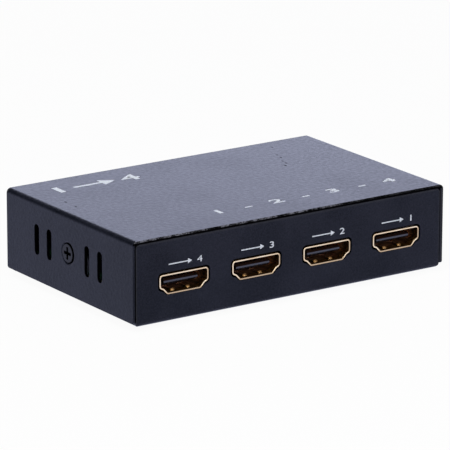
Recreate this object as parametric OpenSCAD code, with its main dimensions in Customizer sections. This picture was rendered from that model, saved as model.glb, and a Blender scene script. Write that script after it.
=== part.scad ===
// Video splitter with one input and four outputs, in a folded sheet-steel case on rubber feet.
// Millimetres. +Z is up, the outputs face -Y, the input and the power inlet face +Y.
// The origin is on the table, under the middle of the case.

/* [Case] */
// Width of the case along the row of outputs
case_w = 96.5; // [94:0.5:130]
// Depth of the case from output panel to input panel
case_d = 60; // [58:0.5:90]
// Height of the folded case without its feet
case_h = 22.5; // [21.5:0.5:36]
// Thickness of the sheet
sheet_t = 0.8; // [0.6:0.05:1]
// Outer radius of the cover's two long bends
cover_bend_r = 1.3; // [1.1:0.1:3]
// Outer radius of the tray's bends
tray_bend_r = 1.2; // [1.1:0.1:2]
// Gap between the cover and the tray inside it
fit_gap = 0.2; // [0.1:0.05:0.4]
// How far the two panels stand back from the cover's cut edges
panel_inset = 0.1; // [0:0.05:0.5]
// Height of the cover's lower edge above the tray's underside
skirt_lift = 1.1; // [0:0.05:2]
// Radius of the lower corners of the cover's sides
skirt_corner_r = 1; // [0.5:0.1:2]
// Radius of the panels' corners
panel_corner_r = 1.5; // [1:0.1:2]
// Height of the tray's low side flanges
flange_h = 4; // [3:0.1:4]

/* [Vents] */
// Width of one vent slot
vent_w = 2.3; // [1:0.1:3]
// Length of one vent slot from end to end
vent_l = 8.2; // [5:0.1:14]
// Distance between neighbouring slots
vent_pitch = 6; // [4:0.5:8]
// Distance from the screw to the nearest slot
vent_reach = 9; // [7.5:0.5:14]
// Slots on each side of a screw
vent_count = 2; // [1:1:3]
// Height of the slots and the screws above the tray's underside
vent_z = 12.2; // [9:0.1:16]
// How far the slots and the screws lie behind the middle of the sides
vent_back = 0.3; // [0:0.1:1]

/* [Cover screws] */
// Diameter of every screw's thread
thread_d = 3; // [2.5:0.1:3]
// Diameter of a cover screw's flat head
cover_head_d = 4.8; // [4.6:0.1:5.4]
// Height of the head's straight edge
cover_head_edge = 0.35; // [0.2:0.05:0.5]
// How far the head stands out of the cover's side
cover_head_proud = 0.15; // [0:0.05:0.3]
// Length of a cover screw
cover_screw_l = 6; // [5:0.5:8]
// Diameter of the dimple's rolled lip
dimple_d = 6.2; // [5.8:0.1:7]
// Depth of the rolled lip
dimple_lip = 0.5; // [0.3:0.05:0.6]
// Width of the tray's screw ear
ear_w = 12; // [10:0.5:13]
// Height of the ear above the screw
ear_rise = 5; // [4.5:0.1:6]

/* [Feet] */
// Diameter of a foot where it is stuck on
foot_d = 8; // [6:0.5:12]
// Height of a foot
foot_h = 1.5; // [1:0.1:4]
// Distance from the case's sides to a foot's middle
foot_inset = 10; // [8:0.5:16]

/* [Board] */
// Thickness of the board
board_t = 1.6; // [1.2:0.1:1.6]
// Height of the standoffs under the board
standoff_h = 4.9; // [3.5:0.1:5]
// Width of a standoff across its flats
standoff_af = 5.5; // [4.5:0.1:6]
// Gap between the board's sides and the ears
board_side_gap = 1; // [0.5:0.1:3]
// Gap between the board's ends and the panels
board_end_gap = 0.6; // [0.3:0.1:2]
// Distance from the board's sides to a screw's middle
hole_inset = 4.5; // [4:0.1:6]
// Distance from the case's front and rear to a screw's middle
hole_end = 17; // [16:0.5:19]
// Diameter of a board screw's pan head
pan_head_d = 5.5; // [5:0.1:6]
// Length of a board screw under its head
pan_screw_l = 5; // [4:0.5:5.5]

/* [Receptacles] */
// Distance from the case's sides to the middle of the outer outputs
port_margin = 15.25; // [14:0.25:18]
// Place of the input from the middle of the case
input_x = 4; // [0:0.5:10]
// Width of a receptacle's mouth
port_w = 14; // [13.8:0.05:14.2]
// Height of a receptacle's mouth
port_h = 4.55; // [4.4:0.05:4.7]
// Thickness of the stamped shell
shell_t = 0.35; // [0.3:0.05:0.5]
// Length of the shell from its rim to its back
shell_l = 11.6; // [11:0.1:12.5]
// Gap between a shell and its cut-out in the panel
cut_gap = 0.3; // [0.2:0.05:0.5]
// How far a cut-out stands higher than its shell
cut_rise = 0.15; // [0:0.05:0.15]
// How far the rims stand out of the panels
port_proud = 0.2; // [0:0.05:1]
// Width of the tongue
tongue_w = 10.2; // [10:0.05:10.8]
// Thickness of the tongue
tongue_t = 1.5; // [1.3:0.05:1.7]
// Height of the tongue's middle above the mouth's middle
tongue_rise = 0.2; // [0:0.05:0.4]
// Distance from the rim to the tongue's tip
tongue_set = 1.6; // [1.2:0.1:2.5]
// Width of one contact
contact_w = 0.3; // [0.2:0.02:0.36]
// Thickness of one contact
contact_t = 0.15; // [0.1:0.01:0.2]
// Distance between contacts of one row
contact_pitch = 1; // [0.95:0.01:1]
// Width of a spring finger in the shell
finger_w = 1.3; // [1.2:0.1:2]
// Length of a spring finger
finger_l = 4.4; // [3.5:0.1:4.6]
// Depth that a finger dips into the mouth
finger_dip = 0.4; // [0.3:0.05:0.6]

/* [Power inlet] */
// Distance from the case's side to the inlet's middle
jack_margin = 18.25; // [17:0.25:20]
// Width of the inlet's housing
jack_w = 9; // [8.8:0.1:9.6]
// Height of the inlet's housing
jack_h = 11; // [10.8:0.1:12]
// Length of the housing behind the panel
jack_l = 12; // [11.5:0.1:13]
// Height of the inlet's middle above the board
jack_rise = 6.5; // [6.4:0.1:7]
// Diameter of the round nose in the panel
jack_nose_d = 8; // [7.8:0.1:8.4]
// Diameter of the plug's hole
jack_bore_d = 6.2; // [5.8:0.1:6.3]
// Depth of the plug's hole
jack_bore_l = 9.5; // [9:0.1:10]
// Diameter of the centre pin
jack_pin_d = 2.1; // [2:0.1:2.5]

/* [Power lamp] */
// Distance from the inlet to the lamp
lamp_gap = 13; // [11:0.5:15]
// Diameter of the lamp's lens
lamp_d = 3; // [2:0.1:3.2]
// Height of the lamp above the board
lamp_rise = 5.5; // [4:0.1:8]
// How far the lens stands out of the panel
lamp_proud = 0.8; // [0.2:0.1:1.4]

/* [Parts on the board] */
// Width of the splitter chip
chip_w = 14; // [12:0.5:14]
// Thickness of the splitter chip
chip_t = 1.4; // [1:0.1:1.6]
// Leads on one side of the splitter chip
chip_leads = 25; // [16:1:25]
// Thickness of the thermal pad
pad_t = 0.5; // [0.3:0.1:1]
// Height of the heat sink
sink_h = 6; // [4:0.5:6.5]
// Fins on the heat sink
sink_fins = 6; // [4:1:7]
// Diameter of a capacitor's can
can_d = 6.3; // [5:0.1:6.3]
// Height of a capacitor's can
can_h = 5.8; // [5:0.1:7.7]
// Width of the inductor's core
coil_w = 7; // [6:0.5:7.5]
// Height of the inductor's core
coil_h = 4; // [3:0.5:5]
// Length of the crystal's can
crystal_l = 11; // [8:0.5:11.5]

/* [Hidden] */
$fn = 64;

// Overlap that carries a cutter past the face it cuts
over = 1;
// Clearance of a screw in its tapped hole, and of a pin in its plastic
thread_gap = 0.02;
// Clearance of a metal piece in a moulded or drilled pocket
pocket_gap = 0.1;

// Case
base_z = foot_h;
tray_w = case_w - 2 * (sheet_t + fit_gap);
panel_y = case_d / 2 - panel_inset;
cover_top = base_z + case_h;
panel_top = cover_top - sheet_t - fit_gap;
side_z = base_z + vent_z;
relief = 0.8;
corner_slip = 0.1;

// Cover screw and the two nested dimples, by depth below the cover's outer face
seat_gap = 0.03;
hole_slack = 0.25;
dimple_wall = 0.45;
nest_gap = 0.15;
ear_wall = 0.75;
collar_l = 0.9;
collar_wall = 0.9;
seat_r = cover_head_d / 2 - (dimple_lip - cover_head_edge + cover_head_proud) + seat_gap;
hole_r = thread_d / 2 + hole_slack;
seat_end = dimple_lip + seat_r - hole_r;
dimple_end = max(seat_end, sheet_t) + dimple_wall;
boss_r = dimple_d / 2 + dimple_wall;
ear_u = sheet_t + fit_gap;
nest_floor = dimple_end + nest_gap;
nest_r = boss_r + nest_gap;
ear_floor = max(nest_floor, ear_u + sheet_t) + ear_wall;
collar_r = thread_d / 2 + collar_wall;
collar_end = ear_floor + collar_l;
tapped_r = thread_d / 2 + thread_gap;

// Board
board_w = tray_w - 2 * (sheet_t + board_side_gap);
board_d = 2 * (panel_y - sheet_t - board_end_gap);
board_z = base_z + sheet_t + standoff_h;
board_top = board_z + board_t;
hole_x = board_w / 2 - hole_inset;
hole_y = case_d / 2 - hole_end;
post_slack = 0.1;
post_hole_d = thread_d + 2 * post_slack;
spigot_step = 0.5;
spigot_d = standoff_af - 2 * spigot_step;

// Receptacle outline: how the mouth and its cut-out step in below their sides, and the corners' radii
port_count = 4;
port_pitch = (case_w - 2 * port_margin) / (port_count - 1);
port_z = board_top + shell_t + port_h / 2;
rim_y = panel_y + port_proud;
port_side = 0.6;
port_shelf = 0.95;
port_drop = 0.4;
port_inner_r = 1.2;
port_foot = 4.9;
cut_side = 1.1;
cut_shelf = 1.05;
cut_drop = 0.25;
cut_inner_r = 0.95;
mouth = mouth_corners(port_side, port_shelf, port_drop);
cut_mouth = mouth_corners(cut_side, cut_shelf, cut_drop);
corner_r = 0.6;
mouth_bend = [1, 1, -1, 1, 1, -1, 1, 1];
mouth_steps = 6;

// Inside a receptacle, by depth behind its rim
finger_top_tip = 3;
finger_low_tip = 1.6;
finger_t = 0.25;
finger_slit = 0.3;
finger_knee = 0.4;
finger_curl = 0.1;
finger_top_x = 3.1;
finger_low_x = 2.35;
block_gap = 0.5;
block_set = 0.2;
block_start = finger_top_tip + finger_l + block_gap;
block_end = shell_l - block_set;
tongue_nose = tongue_t * 0.35;
tongue_ramp_l = 0.5;
contact_set = 0.2;
contact_start = tongue_set + tongue_ramp_l + contact_set;
contact_rows = [10, 9];
row_step = 0.8;
row_back = 0.4;
contact_backs = [shell_l + row_back + row_step, shell_l + row_back];
contact_foot = 0.7;
leg_w = 1.2;
leg_front = 3.2;
leg_set = 1.6;
leg_back = shell_l - leg_set;
leg_tail = 0.8;
seat_drop = port_z - board_top;

// Power inlet, by depth behind the face of its nose
jack_x = jack_margin - case_w / 2;
jack_z = board_top + jack_rise;
jack_proud = 0.3;
jack_face = panel_y + jack_proud;
nose_l = jack_face - (panel_y - sheet_t - pocket_gap);
jack_total = nose_l + jack_l;
pin_start = 1.2;
stem_step = 0.25;
jack_stem_d = jack_pin_d - 2 * stem_step;
tail_t = 0.5;
tail_w = 2.4;
rivet_t = 0.4;
rivet_d = jack_pin_d * 1.5;
tail_drop = board_t + leg_tail;
spring_t = 0.35;
spring_w = 2.4;
spring_slot_w = spring_w + 2 * pocket_gap;
spring_slot_h = 1.5;
spring_set = 4;
spring_foot = nose_l + spring_set;
spring_heel = 1.6;
spring_lap = 0.1;
spring_lip = 0.5;
crest_set = 1.4;
crest_rise = 0.35;
switch_set = 3.2;
switch_y = nose_l + switch_set;
switch_w = 2;
switch_in = 0.6;

// Power lamp
lamp_x = jack_x + lamp_gap;
lamp_z = board_top + lamp_rise;
lamp_flange_w = 0.4;
lamp_flange_d = lamp_d + 2 * lamp_flange_w;
lamp_flange_t = 1;
lamp_body_l = sheet_t + lamp_proud - lamp_d / 2 + pocket_gap;
lead_t = 0.5;
lead_hole_d = lead_t + 3 * pocket_gap;
lead_gap = lamp_d * 2 / 5;
lead_reach = 2.5;

// Splitter chip
chip_lift = 0.1;
chip_y = 2;
lead_pitch = 0.5;
lead_w = 0.22;
lead_thick = 0.15;
lead_out = 0.45;
lead_foot = 0.5;
sink_base = 1.5;
sink_fin_t = 1;

// Small parts on the board
small_l = 4.9;
small_w = 3.9;
small_t = 1.5;
small_pitch = 1.27;
small_lead_w = 0.42;
small_lead_t = 0.2;
small_lead_out = 0.5;
small_lead_foot = 0.55;
regulator_l = 6.5;
regulator_w = 3.5;
regulator_pitch = 2.3;
regulator_lead_w = 0.7;
tab_w = 3;
coil_corner = 1.4;
coil_foot_w = 2.2;
coil_foot_l = coil_w * 0.55;
coil_foot_t = 0.3;
can_base_edge = 0.15;
can_base_w = can_d + 2 * can_base_edge;
can_base_h = 1;
crystal_w = 4.5;
crystal_h = 3.4;
diode_l = 4.3;
diode_w = 2.6;
diode_t = 2;
fuse_l = 3.2;
fuse_w = 1.6;
fuse_t = 0.9;
row_depth = 15.9;
row_y = row_depth - rim_y;
fuse_x = 5.4;
surge_l = 2.5;
surge_w = 1;
surge_t = 0.55;
surge_x = 2.2;
chip_part_l = 1;
chip_part_w = 0.5;
chip_part_t = 0.4;
ring_gap = 2.2;
ring_pitch = 2;
ring_count = 6;
array_pitch = 1.4;
array_count = 5;
array_depth = 18.7;
array_y = array_depth - rim_y;

// Places on the board: the supply's parts follow the inlet, the rest the splitter chip and the input
can_gap = 1.3;
can_row = jack_face - jack_total - tail_t - rivet_t - can_gap - can_base_w / 2;
can_left = 3;
can_right = 7;
can_at = [[jack_x + can_right, can_row], [jack_x - can_left, can_row]];
coil_step = 8.5;
coil_left = 2;
coil_at = [jack_x - coil_left, can_row - coil_step];
converter_right = 9;
converter_at = [jack_x + converter_right, can_row - coil_step];
diode_right = 6;
diode_step = 17.5;
diode_at = [jack_x + diode_right, can_row - diode_step];
regulator_right = 4;
regulator_step = 3.5;
regulator_at = [lamp_x + regulator_right, can_row + regulator_step];
memory_right = 13;
memory_step = 2;
memory_at = [chip_w / 2 + memory_right, chip_y + memory_step];
crystal_right = 12;
crystal_step = 10;
crystal_at = [input_x + crystal_right, chip_y + crystal_step];

// Share of a screw's head that its recess takes, across and in depth
recess_share = 0.7;
cover_recess_depth = 0.28;
pan_recess_depth = 0.75;

// Colours of the finishes that several pieces share
gilt = [0.83, 0.66, 0.36];
resin = [0.13, 0.13, 0.14];
tin = [0.78, 0.78, 0.8];
epoxy = [0.1, 0.1, 0.11];

function port_x(i) = port_pitch * (port_count / 2 + 0.5 - i);
function unit(v) = v / norm(v);
function outward(p, q) = let (d = unit(q - p)) [d[1], -d[0]];
function moved(a, p, b, c) =
  let (m = outward(a, p), n = outward(p, b))
  p + c * (m + n) / (1 + m * n);
function fillet(a, p, b, r) =
  let (u = unit(a - p), v = unit(b - p), half = acos(u * v) / 2)
  let (centre = p + unit(u + v) * r / sin(half))
  let (s = p + u * r / tan(half) - centre, e = p + v * r / tan(half) - centre)
  let (start = atan2(s[1], s[0]), turn = (atan2(e[1], e[0]) - start + 540) % 360 - 180)
  let (step = turn / mouth_steps)
  [for (i = [0:mouth_steps]) centre + r * [cos(start + step * i), sin(start + step * i)]];
function around(list, i) = list[(i + len(list)) % len(list)];
function mouth_corners(side, shelf, drop) = [
  [-port_w / 2, port_h / 2],
  [-port_w / 2, -side],
  [shelf - port_w / 2, -side - drop],
  [-port_foot, -port_h / 2],
  [port_foot, -port_h / 2],
  [port_w / 2 - shelf, -side - drop],
  [port_w / 2, -side],
  [port_w / 2, port_h / 2]
];
function grown(list, c) =
  [for (i = [0:len(list) - 1]) moved(around(list, i - 1), list[i], around(list, i + 1), c)];
function outline(list, inner_r, c) =
  let (k = grown(list, c))
  [for (i = [0:len(k) - 1])
    let (r = mouth_bend[i] > 0 ? corner_r : inner_r)
    each fillet(around(k, i - 1), k[i], around(k, i + 1), r + mouth_bend[i] * c)];

// A bar of outline pts, drawn in width and height, that runs along +Y from depth y
module along_y(y, l) {
  translate([0, y + l, 0])
    rotate([90, 0, 0])
      linear_extrude(l)
        children();
}

// An outline drawn in depth and height, as thick as w in X and centred on x
module across_x(x, w) {
  translate([x - w / 2, 0, 0])
    rotate([90, 0, 90])
      linear_extrude(w)
        children();
}

// A box by its middle in X and Y, its lower face and its size
module block(at, size) {
  translate([at[0] - size[0] / 2, at[1] - size[1] / 2, at[2]])
    cube(size);
}

// A quarter of a bent sheet along +Z: from the +X direction round to the +Y direction
module quarter_bend(r, l) {
  rotate_extrude(angle = 90)
    translate([r - sheet_t, 0])
      square([sheet_t, l]);
}

// Depth below the cover's side, on the axis of that side's screw
module on_side(s) {
  translate([s * case_w / 2, vent_back, side_z])
    rotate([0, -s * 90, 0])
      children();
}

// A ring or disc of revolution between two depths
module cone_cut(u0, r0, u1, r1) {
  translate([0, 0, u0])
    cylinder(h = u1 - u0, r1 = r0, r2 = r1);
}

module cross_recess(d, depth) {
  for (a = [0, 90])
    rotate([0, 0, a])
      translate([0, d / 8, 0])
        rotate([90, 0, 0])
          linear_extrude(d / 4)
            polygon([[-d / 2, -over], [d / 2, -over], [d / 2, 0],
              [d / 5, depth], [-d / 5, depth], [-d / 2, 0]]);
}

// What rounds off a sheet's corner at x and z, an upper or a lower one
module corner_cut(x, z, up, r) {
  far = r + over;
  cx = x - (r - corner_slip);
  cz = z - up * (r - corner_slip);
  difference() {
    translate([cx, up > 0 ? cz : cz - far])
      square([far, far]);
    translate([cx, cz])
      circle(r = r);
  }
}

module cover_sheet() {
  side_h = case_h - skirt_lift - cover_bend_r;
  block([0, 0, cover_top - sheet_t], [case_w - 2 * cover_bend_r, case_d, sheet_t]);
  for (s = [-1, 1])
    block([s * (case_w - sheet_t) / 2, 0, base_z + skirt_lift], [sheet_t, case_d, side_h]);
  for (m = [0, 1])
    mirror([m, 0, 0])
      translate([case_w / 2 - cover_bend_r, case_d / 2, cover_top - cover_bend_r])
        rotate([90, 0, 0])
          quarter_bend(cover_bend_r, case_d);
}

module vent_slot(s, y) {
  on_side(s)
    translate([0, y, -over])
      linear_extrude(sheet_t + 2 * over)
        union() {
          square([vent_l - vent_w, vent_w], center = true);
          for (e = [-1, 1])
            translate([e * (vent_l - vent_w) / 2, 0])
              circle(d = vent_w);
        }
}

module top_cover() {
  color([0.13, 0.13, 0.16])
    difference() {
      union() {
        cover_sheet();
        for (s = [-1, 1])
          on_side(s)
            cone_cut(sheet_t / 2, boss_r, dimple_end, boss_r - dimple_end + sheet_t);
      }
      for (s = [-1, 1]) {
        on_side(s)
          cone_cut(-over, dimple_d / 2 + over * (dimple_d / 2 - seat_r) / dimple_lip, dimple_lip, seat_r);
        on_side(s)
          cone_cut(dimple_lip, seat_r, seat_end, hole_r);
        on_side(s)
          cone_cut(seat_end, hole_r, dimple_end + over, hole_r);
        for (e = [-1, 1], i = [0:vent_count - 1])
          vent_slot(s, e * (vent_reach + i * vent_pitch));
        for (m = [0, 1])
          mirror([0, m, 0])
            across_x(s * case_w / 2, 2 * sheet_t + over)
              corner_cut(case_d / 2, base_z + skirt_lift, -1, skirt_corner_r);
      }
    }
}

module panel_corner(x, z, up) {
  along_y(-over, sheet_t + tray_bend_r + over)
    corner_cut(x, z, up, panel_corner_r);
}

// One upright panel with its lower bend, its outer face on Y = 0 and the case behind it
module panel_sheet() {
  difference() {
    union() {
      block([0, sheet_t / 2, base_z + tray_bend_r], [tray_w, sheet_t, panel_top - base_z - tray_bend_r]);
      translate([-tray_w / 2, tray_bend_r, base_z + tray_bend_r])
        rotate([0, 90, 0])
          rotate([0, 0, -90])
            quarter_bend(tray_bend_r, tray_w);
    }
    for (m = [0, 1])
      mirror([m, 0, 0]) {
        panel_corner(tray_w / 2, panel_top, 1);
        panel_corner(tray_w / 2, base_z, -1);
      }
  }
}

// A side's low flange on its bend, and the screw ear that stands up from it
module side_flange() {
  up_z = base_z + tray_bend_r;
  flange_l = 2 * (panel_y - tray_bend_r - relief);
  ear_top = side_z + ear_rise;
  block([tray_w / 2 - sheet_t / 2, 0, up_z], [sheet_t, flange_l, base_z + flange_h - up_z]);
  block([tray_w / 2 - sheet_t / 2, vent_back, up_z], [sheet_t, ear_w, ear_top - up_z]);
  translate([tray_w / 2 - tray_bend_r, -flange_l / 2, up_z])
    rotate([-90, 0, 0])
      quarter_bend(tray_bend_r, flange_l);
  block([tray_w / 2 - tray_bend_r - relief / 2, 0, base_z], [relief, flange_l, sheet_t]);
  on_side(1) {
    cone_cut(ear_u + sheet_t / 2, nest_r + ear_wall, ear_floor, nest_r - ear_wall / 2);
    cone_cut(ear_floor - sheet_t / 4, collar_r, collar_end, collar_r);
  }
}

module base_tray() {
  floor_w = tray_w - 2 * (tray_bend_r + relief);
  floor_d = 2 * (panel_y - tray_bend_r);
  color([0.11, 0.11, 0.14])
    difference() {
      union() {
        block([0, 0, base_z], [floor_w, floor_d, sheet_t]);
        for (a = [0, 180])
          rotate([0, 0, a])
            translate([0, -panel_y, 0])
              panel_sheet();
        for (m = [0, 1])
          mirror([m, 0, 0])
            side_flange();
      }
      for (s = [-1, 1]) {
        on_side(s)
          cone_cut(ear_u - over, nest_r + over, nest_floor, nest_r - nest_floor + ear_u);
        on_side(s)
          cone_cut(nest_floor - over / 4, tapped_r, collar_end + over, tapped_r);
      }
      for (i = [1:port_count])
        translate([port_x(i), -panel_y, port_z + cut_rise])
          along_y(-over, sheet_t + 2 * over)
            polygon(outline(cut_mouth, cut_inner_r, shell_t + cut_gap));
      translate([input_x, panel_y, port_z + cut_rise])
        rotate([0, 0, 180])
          along_y(-over, sheet_t + 2 * over)
            polygon(outline(cut_mouth, cut_inner_r, shell_t + cut_gap));
      translate([jack_x, panel_y + over, jack_z])
        rotate([90, 0, 0])
          cylinder(h = sheet_t + 2 * over, d = jack_nose_d + 2 * fit_gap);
      translate([lamp_x, panel_y + over, lamp_z])
        rotate([90, 0, 0])
          cylinder(h = sheet_t + 2 * over, d = lamp_d + fit_gap);
      for (p = posts())
        translate([p[0], p[1], base_z - over])
          cylinder(h = sheet_t + 2 * over, d = spigot_d + 2 * thread_gap);
    }
}

function posts() = [for (s = [-1, 1], e = [-1, 1]) [s * hole_x, e * hole_y]];

module cover_screws() {
  tip = 0.5;
  shank_start = dimple_lip + seat_r - seat_gap - thread_d / 2;
  head_r = cover_head_d / 2;
  edge_u = cover_head_edge - cover_head_proud;
  end_u = cover_screw_l - cover_head_proud;
  color([0.16, 0.16, 0.18])
    for (s = [-1, 1])
      on_side(s)
        difference() {
          union() {
            cone_cut(-cover_head_proud, head_r, edge_u, head_r);
            cone_cut(edge_u, head_r, shank_start, thread_d / 2);
            cone_cut(shank_start, thread_d / 2, end_u - tip, thread_d / 2);
            cone_cut(end_u - tip, thread_d / 2, end_u, thread_d / 2 - tip);
          }
          translate([0, 0, -cover_head_proud])
            cross_recess(cover_head_d * recess_share, cover_head_d * cover_recess_depth);
        }
}

module rubber_feet() {
  edge = 0.4;
  color([0.08, 0.08, 0.08])
    for (sx = [-1, 1], sy = [-1, 1])
      translate([sx * (case_w / 2 - foot_inset), sy * (case_d / 2 - foot_inset), 0]) {
        cylinder(h = edge, d1 = foot_d - 2 * edge, d2 = foot_d);
        translate([0, 0, edge])
          cylinder(h = foot_h - edge, d = foot_d);
      }
}

module board_standoffs() {
  color([0.75, 0.75, 0.78])
    for (p = posts())
      translate([p[0], p[1], base_z])
        difference() {
          union() {
            cylinder(h = sheet_t, d = spigot_d);
            translate([0, 0, sheet_t])
              cylinder(h = standoff_h, d = standoff_af / cos(30), $fn = 6);
          }
          translate([0, 0, -over])
            cylinder(h = sheet_t + standoff_h + 2 * over, d = thread_d + 2 * thread_gap);
        }
}

module board_screws() {
  head_h = 1.7;
  crown = 0.5;
  color([0.72, 0.72, 0.75])
    for (p = posts())
      translate([p[0], p[1], board_top])
        difference() {
          union() {
            cylinder(h = head_h - crown, d = pan_head_d);
            translate([0, 0, head_h - crown])
              cylinder(h = crown, d1 = pan_head_d, d2 = pan_head_d - 2 * crown);
            translate([0, 0, -pan_screw_l])
              cylinder(h = pan_screw_l, d = thread_d);
          }
          translate([0, 0, head_h])
            mirror([0, 0, 1])
              cross_recess(pan_head_d * recess_share, head_h * pan_recess_depth);
        }
}

module leg_slots(grow) {
  for (s = [-1, 1], y = [leg_front, leg_back])
    block([s * (port_w + shell_t) / 2, y, -seat_drop - tail_drop - grow],
      [shell_t + 2 * grow, leg_w + 2 * grow, tail_drop + seat_drop - port_side + grow]);
}

module circuit_board() {
  color([0.1, 0.35, 0.18])
    difference() {
      block([0, 0, board_z], [board_w, board_d, board_t]);
      for (p = posts())
        translate([p[0], p[1], board_z - over])
          cylinder(h = board_t + 2 * over, d = post_hole_d);
      for (i = [1:port_count])
        at_output(i)
          leg_slots(pocket_gap);
      at_input()
        leg_slots(pocket_gap);
      at_jack() {
        block([0, jack_total + tail_t / 2, -jack_rise - tail_drop],
          [tail_w + 2 * pocket_gap, tail_t + 2 * pocket_gap, 2 * tail_drop]);
        block([0, spring_foot, -jack_rise - tail_drop],
          [spring_w + 2 * pocket_gap, spring_t + 2 * pocket_gap, 2 * tail_drop]);
        block([jack_w / 2 - switch_in / 2, switch_y, -jack_rise - tail_drop],
          [switch_in + 2 * pocket_gap, switch_w + 2 * pocket_gap, 2 * tail_drop]);
      }
      for (s = [-1, 1])
        translate([lamp_x + s * lead_gap, lamp_lead_y(), board_z - over])
          cylinder(h = board_t + 2 * over, d = lead_hole_d);
    }
}

module at_output(i) {
  translate([port_x(i), -rim_y, port_z])
    children();
}

module at_input() {
  translate([input_x, rim_y, port_z])
    rotate([0, 0, 180])
      children();
}

module finger_windows() {
  window_w = finger_w + 2 * finger_slit;
  window_l = finger_l + finger_slit;
  window_mid = (finger_l - finger_slit) / 2;
  for (s = [-1, 1]) {
    block([s * finger_top_x, finger_top_tip + window_mid, port_h / 2 - over / 10],
      [window_w, window_l, shell_t + over]);
    block([s * finger_low_x, finger_low_tip + window_mid, -port_h / 2 - shell_t - over],
      [window_w, window_l, shell_t + over * 1.1]);
  }
}

// One spring finger of the lower wall, drawn in depth and height: its root in the wall, its end curled down
module finger_outline(tip) {
  wall = -port_h / 2;
  root = tip + finger_l;
  knee = tip + finger_knee;
  polygon([
    [root + finger_slit, wall - shell_t],
    [root + finger_slit, wall - shell_t + finger_t],
    [root - finger_slit, wall - shell_t + finger_t],
    [knee, wall + finger_dip],
    [tip, wall - finger_curl],
    [tip + finger_t, wall - finger_curl],
    [knee + finger_t / 2, wall + finger_dip - finger_t],
    [root - finger_slit, wall - shell_t]
  ]);
}

module receptacle_shell() {
  difference() {
    along_y(0, shell_l)
      polygon(outline(mouth, port_inner_r, shell_t));
    along_y(-over, shell_l + 2 * over)
      polygon(outline(mouth, port_inner_r, 0));
    finger_windows();
  }
  for (s = [-1, 1]) {
    across_x(s * finger_low_x, finger_w)
      finger_outline(finger_low_tip);
    mirror([0, 0, 1])
      across_x(s * finger_top_x, finger_w)
        finger_outline(finger_top_tip);
  }
  leg_slots(0);
}

module contact_outline(row) {
  y0 = contact_start;
  back = contact_backs[row];
  face = row == 0 ? tongue_rise + tongue_t / 2 : tongue_rise - tongue_t / 2 + contact_t;
  floor_z = -seat_drop;
  polygon([
    [y0, face - contact_t],
    [y0, face],
    [back + contact_t, face],
    [back + contact_t, floor_z + contact_t],
    [back + contact_foot, floor_z + contact_t],
    [back + contact_foot, floor_z],
    [back, floor_z],
    [back, face - contact_t]
  ]);
}

module each_contact(row) {
  count = contact_rows[row];
  for (i = [0:count - 1])
    translate([(i - (count - 1) / 2) * contact_pitch, 0, 0])
      children();
}

module receptacle_contacts() {
  for (row = [0, 1])
    each_contact(row)
      across_x(0, contact_w)
        contact_outline(row);
}

module receptacle_tongue() {
  low = tongue_rise - tongue_t / 2;
  high = tongue_rise + tongue_t / 2;
  groove_l = block_end - contact_start + over;
  difference() {
    union() {
      along_y(block_start, block_end - block_start)
        polygon(outline(mouth, port_inner_r, -pocket_gap / 2));
      across_x(0, tongue_w)
        polygon([
          [tongue_set, low + tongue_nose],
          [tongue_set + tongue_ramp_l, low],
          [block_start + over, low],
          [block_start + over, high],
          [tongue_set + tongue_ramp_l, high],
          [tongue_set, high - tongue_nose]
        ]);
    }
    each_contact(0)
      block([0, contact_start + groove_l / 2, high - contact_t],
        [contact_w, groove_l, contact_t + thread_gap]);
    each_contact(1)
      block([0, contact_start + groove_l / 2, low - thread_gap],
        [contact_w, groove_l, contact_t + thread_gap]);
  }
}

module output_shell(i) {
  color(gilt)
    at_output(i)
      receptacle_shell();
}

module output_tongue(i) {
  color(resin)
    at_output(i)
      receptacle_tongue();
}

module output_contacts(i) {
  color(gilt)
    at_output(i)
      receptacle_contacts();
}

module input_shell() {
  color(gilt)
    at_input()
      receptacle_shell();
}

module input_tongue() {
  color(resin)
    at_input()
      receptacle_tongue();
}

module input_contacts() {
  color(gilt)
    at_input()
      receptacle_contacts();
}

// The inlet's own frame: its nose's face on Y = 0, the plug's axis along +Y into the case
module at_jack() {
  translate([jack_x, jack_face, jack_z])
    rotate([0, 0, 180])
      children();
}

module deep(y0, y1, d) {
  translate([0, y1, 0])
    rotate([90, 0, 0])
      cylinder(h = y1 - y0, d = d);
}

module power_jack_housing() {
  color([0.07, 0.07, 0.08])
    at_jack()
      difference() {
        union() {
          deep(0, nose_l + over, jack_nose_d);
          block([0, nose_l + jack_l / 2, -jack_rise], [jack_w, jack_l, jack_h]);
        }
        deep(-over, jack_bore_l, jack_bore_d);
        deep(jack_bore_l - over, jack_total + over, jack_stem_d + 2 * thread_gap);
        block([0, (nose_l + sheet_t + jack_bore_l) / 2, -jack_bore_d / 2 - spring_slot_h],
          [spring_slot_w, jack_bore_l - nose_l - sheet_t, spring_slot_h + jack_bore_d / 2]);
        block([0, spring_foot, -jack_rise - over],
          [spring_slot_w, spring_t + 2 * pocket_gap, jack_rise - jack_bore_d / 2]);
        block([jack_w / 2 - switch_in / 2 + over / 2, switch_y, -jack_rise - over],
          [switch_in + over, switch_w + 2 * pocket_gap, jack_rise + over]);
      }
}

module power_jack_pin() {
  dome = jack_pin_d / 2;
  color(tin)
    at_jack() {
      deep(pin_start + dome / 2, jack_bore_l, jack_pin_d);
      deep(jack_bore_l, jack_total, jack_stem_d);
      translate([0, pin_start + dome / 2, 0])
        rotate([90, 0, 0])
          cylinder(h = dome / 2, d1 = jack_pin_d, d2 = jack_pin_d / 2);
      deep(jack_total, jack_total + tail_t + rivet_t, rivet_d);
      block([0, jack_total + tail_t / 2, -jack_rise - tail_drop],
        [tail_w, tail_t, jack_rise + tail_drop + tail_w / 2]);
    }
}

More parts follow.
